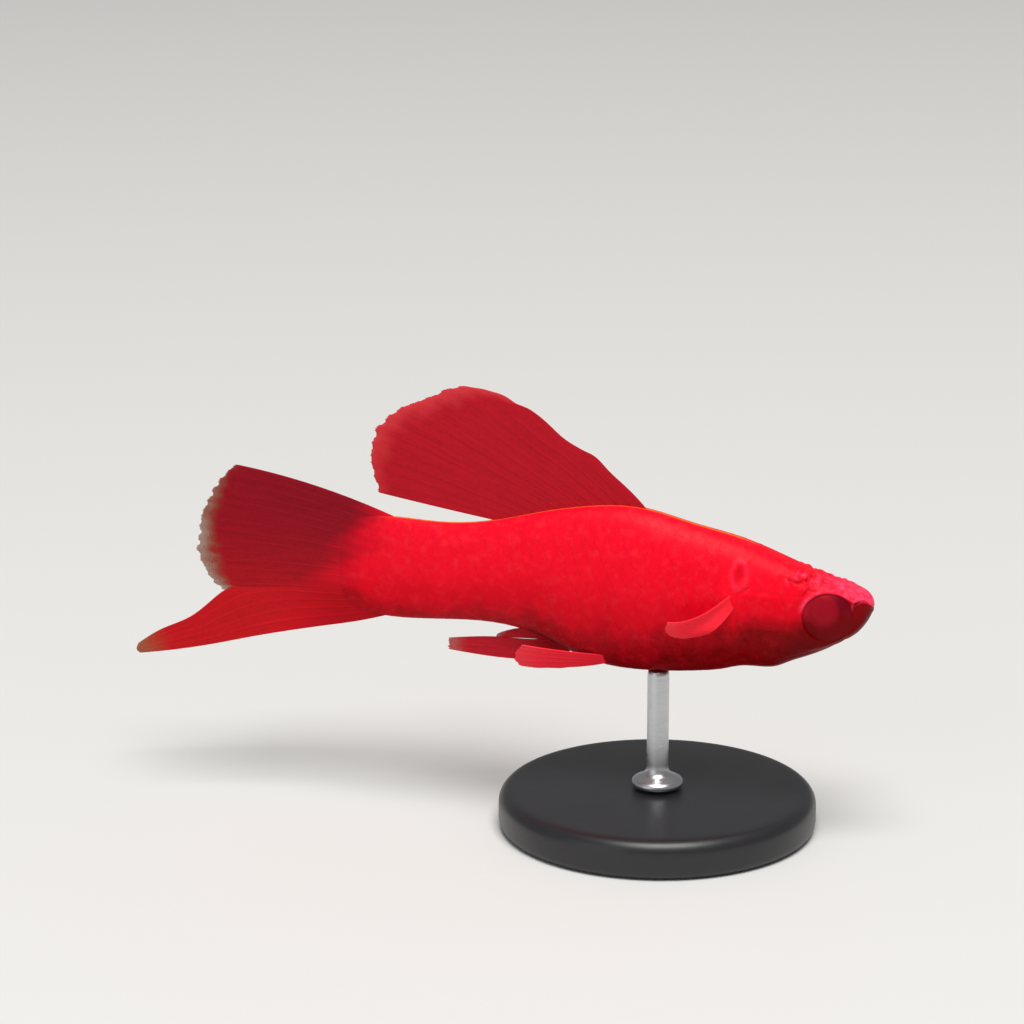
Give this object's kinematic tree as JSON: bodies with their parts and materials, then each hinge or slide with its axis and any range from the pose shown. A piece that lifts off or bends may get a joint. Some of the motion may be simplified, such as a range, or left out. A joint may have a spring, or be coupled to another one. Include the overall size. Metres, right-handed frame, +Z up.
{
  "type": "swordtail",
  "caption": "Life-size model of a male red swordtail with a tall dorsal fin and a short sword, swimming over a round display stand.",
  "frame": {"origin": "middle of the underside of the stand's base, on the floor", "axes": "+X to the snout, +Y to the fish's left side, +Z up"},
  "size_m": [0.0762, 0.032, 0.0441],
  "materials": {
    "flesh": "satin",
    "fin": "satin",
    "eye": "gloss",
    "stand_black": "satin",
    "stand_steel": "satin"
  },
  "bodies": {
    "root": {"head": "flesh", "trunk": "flesh", "tail_stalk": "flesh", "eye_left": "eye", "eye_right": "eye", "dorsal_fin": "fin", "caudal_fin": "fin", "sword": "fin", "anal_fin": "fin", "pectoral_fin_left": "fin", "pectoral_fin_right": "fin", "pelvic_fin_left": "fin", "pelvic_fin_right": "fin", "stand_base": "stand_black", "stand_rod": "stand_steel"}
  },
  "joints": []
}
